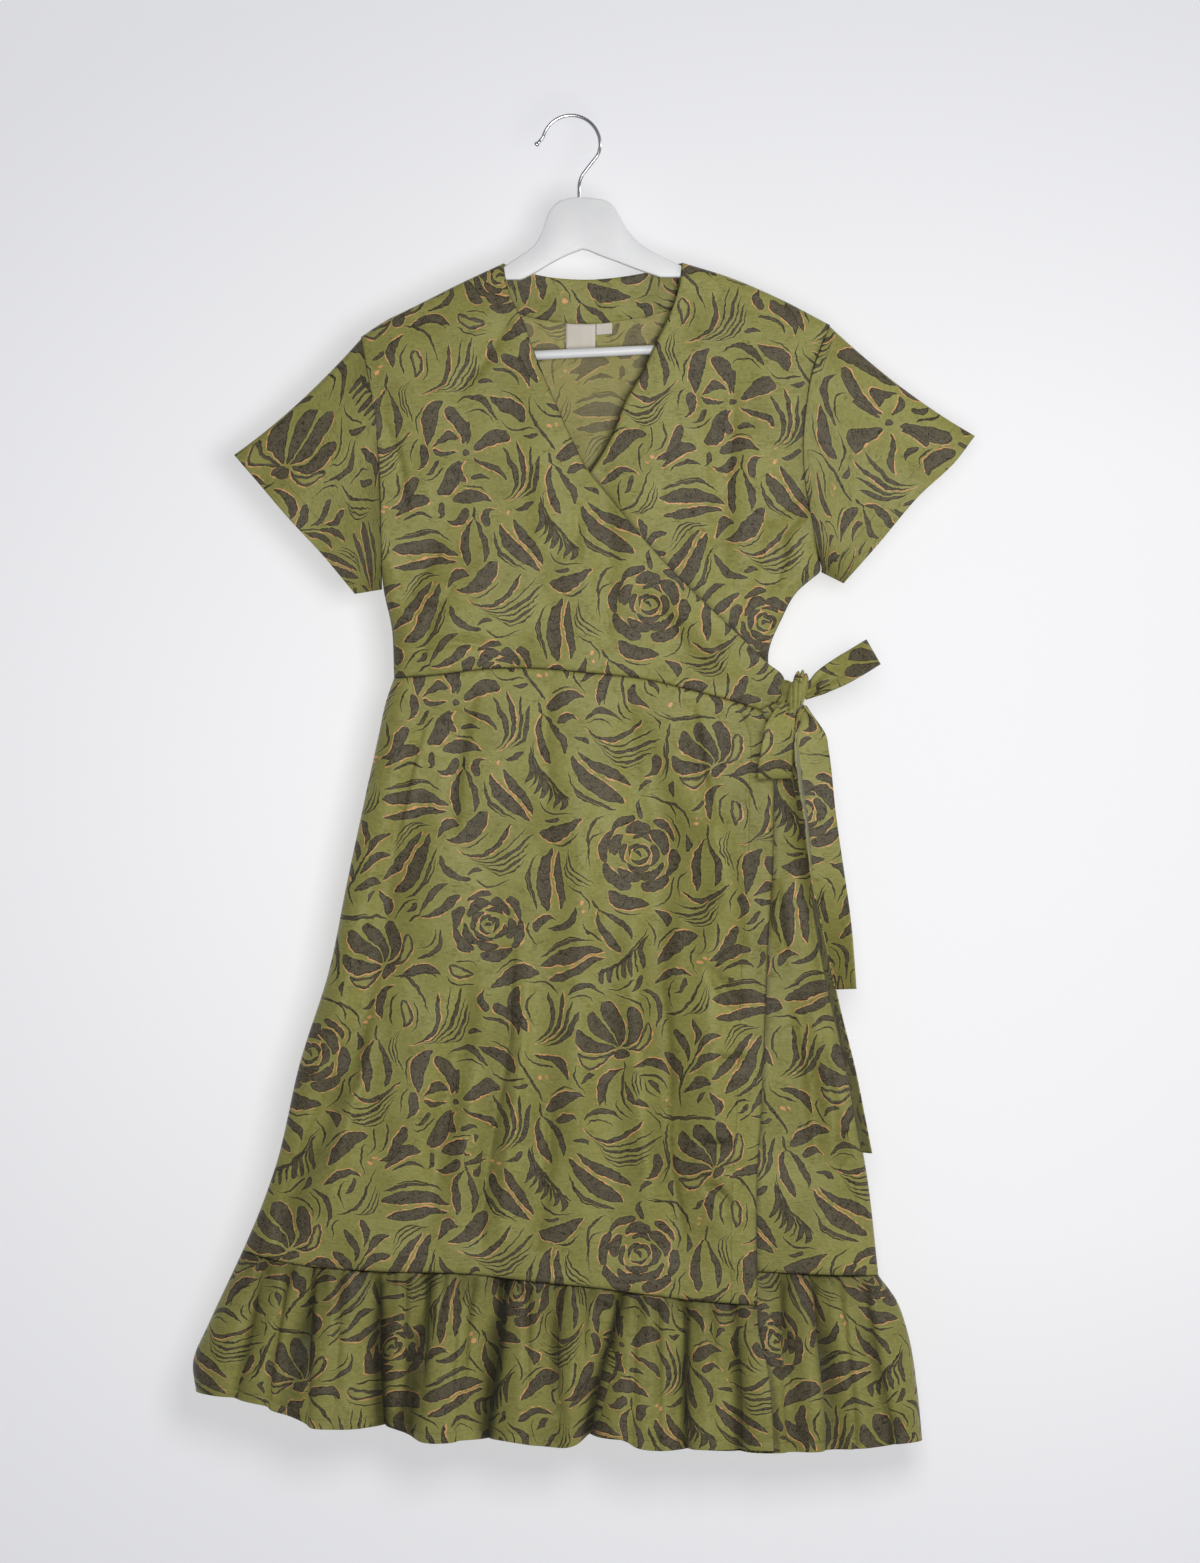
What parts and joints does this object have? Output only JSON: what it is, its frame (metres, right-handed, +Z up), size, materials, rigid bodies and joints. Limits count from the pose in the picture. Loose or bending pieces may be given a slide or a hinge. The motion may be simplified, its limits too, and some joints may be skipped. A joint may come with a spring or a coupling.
{
  "type": "wrap dress on hanger",
  "caption": "Short-sleeved wrap dress with a crossed V neck, side tie bow and ruffled hem, hung flat on a flat wooden hanger with a wire hook.",
  "frame": {"origin": "inside of the top of the hook, where a rail carries it, in the middle of the wire's thickness", "axes": "+Z up, -Y towards the front of the dress, +X towards the tie bow's side, right as seen from the front"},
  "size_m": [0.7831, 0.0992, 1.3408],
  "materials": {
    "printed_cloth": "olive green satin with a grey-brown floral print",
    "label_tape": "plain cream woven tape",
    "white_paint": "smooth white paint",
    "chrome_wire": "polished"
  },
  "bodies": {
    "root": {"bodice_back": "printed_cloth", "bodice_front_over": "printed_cloth", "bodice_front_under": "printed_cloth", "sleeve_left": "printed_cloth", "sleeve_right": "printed_cloth", "skirt_back": "printed_cloth", "skirt_front_over": "printed_cloth", "skirt_front_under": "printed_cloth", "ruffle_back": "printed_cloth", "ruffle_front_over": "printed_cloth", "ruffle_front_under": "printed_cloth", "neck_facing": "printed_cloth", "tie_knot": "printed_cloth", "tie_loop_up": "printed_cloth", "tie_loop_down": "printed_cloth", "tie_tail_long": "printed_cloth", "tie_tail_short": "printed_cloth", "label_main": "label_tape", "label_size": "label_tape", "hanger_wood": "white_paint", "hanger_bar": "white_paint", "hook": "chrome_wire"}
  },
  "joints": []
}
